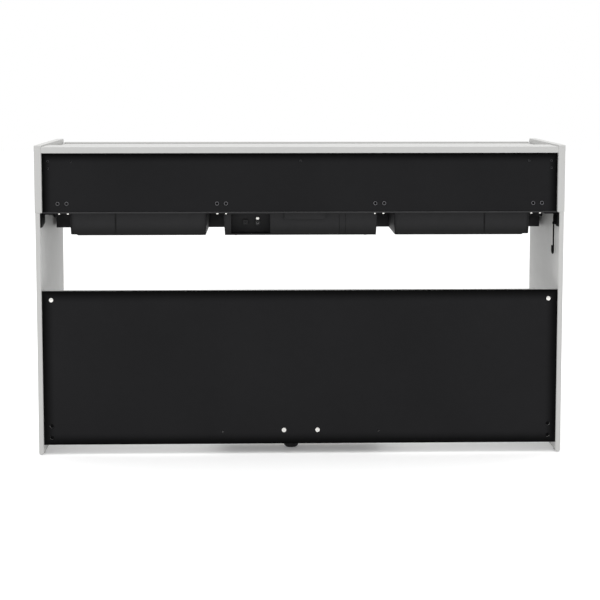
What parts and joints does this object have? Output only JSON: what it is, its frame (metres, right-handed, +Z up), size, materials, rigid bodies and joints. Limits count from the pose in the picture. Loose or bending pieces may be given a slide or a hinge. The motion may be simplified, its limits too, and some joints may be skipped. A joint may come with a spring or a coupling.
{
  "type": "digital piano on stand",
  "caption": "Slim digital piano with hinged key cover, weighted-style keyboard and pedals, standing on two side panels joined by a low back panel.",
  "frame": {"origin": "on the floor, at the centre of the footprint", "axes": "+X to the player's right, +Y to the back of the piano, +Z up; the player sits on the -Y side"},
  "size_m": [1.37, 0.41, 0.81],
  "materials": {
    "white_board": "matt white foil on board",
    "black_board": "matt black foil on board",
    "lower_board": "board with a matt black back and white front and edges",
    "grey_board": "plain light grey board",
    "black_plastic": "fine-grained black moulding",
    "socket_plastic": "smooth black moulding",
    "panel_plastic": "satin black moulding",
    "button_plastic": "satin dark grey moulding",
    "white_plastic": "satin white moulding",
    "circuit_board": "green solder mask",
    "black_steel": "black powder coat",
    "dark_screws": "blackened steel",
    "nickel": "bright nickel plate",
    "steel": "plain bright steel",
    "speaker_metal": "dark grey pressed steel",
    "pedal_brass": "polished brass",
    "white_key": "satin ivory white",
    "black_key": "matt black",
    "red_felt": "dark red felt"
  },
  "bodies": {
    "cabinet": {"left_leg": "white_board", "right_leg": "white_board", "leg_glides": "black_plastic", "leg_brackets": "black_steel", "headphone_hook": "black_steel", "lower_panel": "lower_board", "lower_panel_screws": "nickel", "lower_panel_bolts": "black_steel", "pedal_box": "black_plastic", "pedal_axle": "steel", "pedal_springs": "steel", "left_cheek": "white_board", "right_cheek": "white_board", "top_shelf": "white_board", "rear_panel": "black_board", "rear_panel_screws": "dark_screws", "panel_brackets": "nickel", "keybed": "grey_board", "key_slip": "white_board", "end_blocks": "white_board", "bottom_case": "black_plastic", "left_speaker_box": "black_plastic", "right_speaker_box": "black_plastic", "speaker_drivers": "speaker_metal", "electronics_box": "black_plastic", "main_board": "circuit_board", "sockets": "socket_plastic", "key_frame": "black_plastic", "key_pivot_rod": "steel", "key_felt": "red_felt", "control_panel": "panel_plastic", "hinge_shelf_leaves": "steel"},
    "lid": {"lid": "white_board", "lid_rail": "white_board", "hinge_lid_leaves": "steel"},
    "music_ledge": {"music_ledge": "white_plastic"},
    "pedal_left": {"pedal_left": "pedal_brass"},
    "pedal_middle": {"pedal_middle": "pedal_brass"},
    "pedal_right": {"pedal_right": "pedal_brass"},
    "pedal_foot": {"pedal_foot": "black_plastic"},
    "power_button": {"power_button": "button_plastic"},
    "volume_knob": {"volume_knob": "button_plastic"},
    "tone_button": {"tone_button": "button_plastic"},
    "metronome_button": {"metronome_button": "button_plastic"},
    "key_c4": {"key_c4": "white_key"},
    "key_c_sharp4": {"key_c_sharp4": "black_key"},
    "key_d4": {"key_d4": "white_key"},
    "key_d_sharp4": {"key_d_sharp4": "black_key"},
    "key_e4": {"key_e4": "white_key"},
    "key_f4": {"key_f4": "white_key"},
    "key_f_sharp4": {"key_f_sharp4": "black_key"},
    "key_g4": {"key_g4": "white_key"},
    "key_g_sharp4": {"key_g_sharp4": "black_key"},
    "key_a4": {"key_a4": "white_key"},
    "key_a_sharp4": {"key_a_sharp4": "black_key"},
    "key_b4": {"key_b4": "white_key"},
    "bass_white_keys": {"bass_white_keys": "white_key"},
    "bass_black_keys": {"bass_black_keys": "black_key"},
    "treble_white_keys": {"treble_white_keys": "white_key"},
    "treble_black_keys": {"treble_black_keys": "black_key"}
  },
  "joints": [
    {"name": "lid_open", "type": "hinge", "parent": "cabinet", "child": "lid", "pos_m": [0, 0.0884, 0.8006], "axis": [-1, 0, 0], "range_deg": [0, 100]},
    {"name": "ledge_fold", "type": "hinge", "parent": "lid", "child": "music_ledge", "pos_m": [0, 0.0584, 0.7832], "axis": [1, 0, 0], "range_deg": [0, 90]},
    {"name": "pedal_left_press", "type": "hinge", "parent": "cabinet", "child": "pedal_left", "pos_m": [-0.075, 0.1665, 0.058], "axis": [1, 0, 0], "range_deg": [0, 4.3], "stiffness_Nm_per_rad": 10, "springref_deg": -17.19},
    {"name": "pedal_middle_press", "type": "hinge", "parent": "cabinet", "child": "pedal_middle", "pos_m": [0, 0.1665, 0.058], "axis": [1, 0, 0], "range_deg": [0, 4.3], "stiffness_Nm_per_rad": 10, "springref_deg": -17.19, "deforming": ["pedal_springs"]},
    {"name": "pedal_right_press", "type": "hinge", "parent": "cabinet", "child": "pedal_right", "pos_m": [0.075, 0.1665, 0.058], "axis": [1, 0, 0], "range_deg": [0, 4.3], "stiffness_Nm_per_rad": 10, "springref_deg": -17.19},
    {"name": "foot_turn", "type": "hinge", "parent": "cabinet", "child": "pedal_foot", "pos_m": [0.024, 0.1255, 0.01], "axis": [0, 0, 1], "continuous": true},
    {"name": "power_button_press", "type": "slide", "parent": "cabinet", "child": "power_button", "axis": [0, 0, -1], "range_m": [0, 0.0015], "stiffness_N_per_m": 400, "springref_m": -0.002},
    {"name": "tone_button_press", "type": "slide", "parent": "cabinet", "child": "tone_button", "axis": [0, 0, -1], "range_m": [0, 0.0015], "stiffness_N_per_m": 400, "springref_m": -0.002},
    {"name": "metronome_button_press", "type": "slide", "parent": "cabinet", "child": "metronome_button", "axis": [0, 0, -1], "range_m": [0, 0.0015], "stiffness_N_per_m": 400, "springref_m": -0.002},
    {"name": "volume_turn", "type": "hinge", "parent": "cabinet", "child": "volume_knob", "pos_m": [-0.571, 0.0295, 0.752], "axis": [0, 0, -1], "range_deg": [0, 280]},
    {"name": "key_c4_press", "type": "hinge", "parent": "cabinet", "child": "key_c4", "pos_m": [-0.06365, 0.036, 0.732], "axis": [1, 0, 0], "range_deg": [0, 2.6], "stiffness_Nm_per_rad": 0.95, "springref_deg": -11.46},
    {"name": "key_c_sharp4_press", "type": "hinge", "parent": "cabinet", "child": "key_c_sharp4", "pos_m": [-0.04994, 0.036, 0.732], "axis": [1, 0, 0], "range_deg": [0, 2.6], "stiffness_Nm_per_rad": 0.59, "springref_deg": -11.46},
    {"name": "key_d4_press", "type": "hinge", "parent": "cabinet", "child": "key_d4", "pos_m": [-0.03623, 0.036, 0.732], "axis": [1, 0, 0], "range_deg": [0, 2.6], "stiffness_Nm_per_rad": 0.95, "springref_deg": -11.46},
    {"name": "key_d_sharp4_press", "type": "hinge", "parent": "cabinet", "child": "key_d_sharp4", "pos_m": [-0.02252, 0.036, 0.732], "axis": [1, 0, 0], "range_deg": [0, 2.6], "stiffness_Nm_per_rad": 0.59, "springref_deg": -11.46},
    {"name": "key_e4_press", "type": "hinge", "parent": "cabinet", "child": "key_e4", "pos_m": [-0.00881, 0.036, 0.732], "axis": [1, 0, 0], "range_deg": [0, 2.6], "stiffness_Nm_per_rad": 0.95, "springref_deg": -11.46},
    {"name": "key_f4_press", "type": "hinge", "parent": "cabinet", "child": "key_f4", "pos_m": [0.0049, 0.036, 0.732], "axis": [1, 0, 0], "range_deg": [0, 2.6], "stiffness_Nm_per_rad": 0.95, "springref_deg": -11.46},
    {"name": "key_f_sharp4_press", "type": "hinge", "parent": "cabinet", "child": "key_f_sharp4", "pos_m": [0.0186, 0.036, 0.732], "axis": [1, 0, 0], "range_deg": [0, 2.6], "stiffness_Nm_per_rad": 0.59, "springref_deg": -11.46},
    {"name": "key_g4_press", "type": "hinge", "parent": "cabinet", "child": "key_g4", "pos_m": [0.03231, 0.036, 0.732], "axis": [1, 0, 0], "range_deg": [0, 2.6], "stiffness_Nm_per_rad": 0.95, "springref_deg": -11.46},
    {"name": "key_g_sharp4_press", "type": "hinge", "parent": "cabinet", "child": "key_g_sharp4", "pos_m": [0.04602, 0.036, 0.732], "axis": [1, 0, 0], "range_deg": [0, 2.6], "stiffness_Nm_per_rad": 0.59, "springref_deg": -11.46},
    {"name": "key_a4_press", "type": "hinge", "parent": "cabinet", "child": "key_a4", "pos_m": [0.05973, 0.036, 0.732], "axis": [1, 0, 0], "range_deg": [0, 2.6], "stiffness_Nm_per_rad": 0.95, "springref_deg": -11.46},
    {"name": "key_a_sharp4_press", "type": "hinge", "parent": "cabinet", "child": "key_a_sharp4", "pos_m": [0.07344, 0.036, 0.732], "axis": [1, 0, 0], "range_deg": [0, 2.6], "stiffness_Nm_per_rad": 0.59, "springref_deg": -11.46},
    {"name": "key_b4_press", "type": "hinge", "parent": "cabinet", "child": "key_b4", "pos_m": [0.08715, 0.036, 0.732], "axis": [1, 0, 0], "range_deg": [0, 2.6], "stiffness_Nm_per_rad": 0.95, "springref_deg": -11.46},
    {"name": "bass_white_press", "type": "hinge", "parent": "cabinet", "child": "bass_white_keys", "pos_m": [-0.34, 0.036, 0.732], "axis": [1, 0, 0], "range_deg": [0, 2.6], "stiffness_Nm_per_rad": 21.85, "springref_deg": -11.46},
    {"name": "bass_black_press", "type": "hinge", "parent": "cabinet", "child": "bass_black_keys", "pos_m": [-0.34, 0.036, 0.732], "axis": [1, 0, 0], "range_deg": [0, 2.6], "stiffness_Nm_per_rad": 9.44, "springref_deg": -11.46},
    {"name": "treble_white_press", "type": "hinge", "parent": "cabinet", "child": "treble_white_keys", "pos_m": [0.35, 0.036, 0.732], "axis": [1, 0, 0], "range_deg": [0, 2.6], "stiffness_Nm_per_rad": 20.9, "springref_deg": -11.46},
    {"name": "treble_black_press", "type": "hinge", "parent": "cabinet", "child": "treble_black_keys", "pos_m": [0.35, 0.036, 0.732], "axis": [1, 0, 0], "range_deg": [0, 2.6], "stiffness_Nm_per_rad": 8.85, "springref_deg": -11.46}
  ]
}
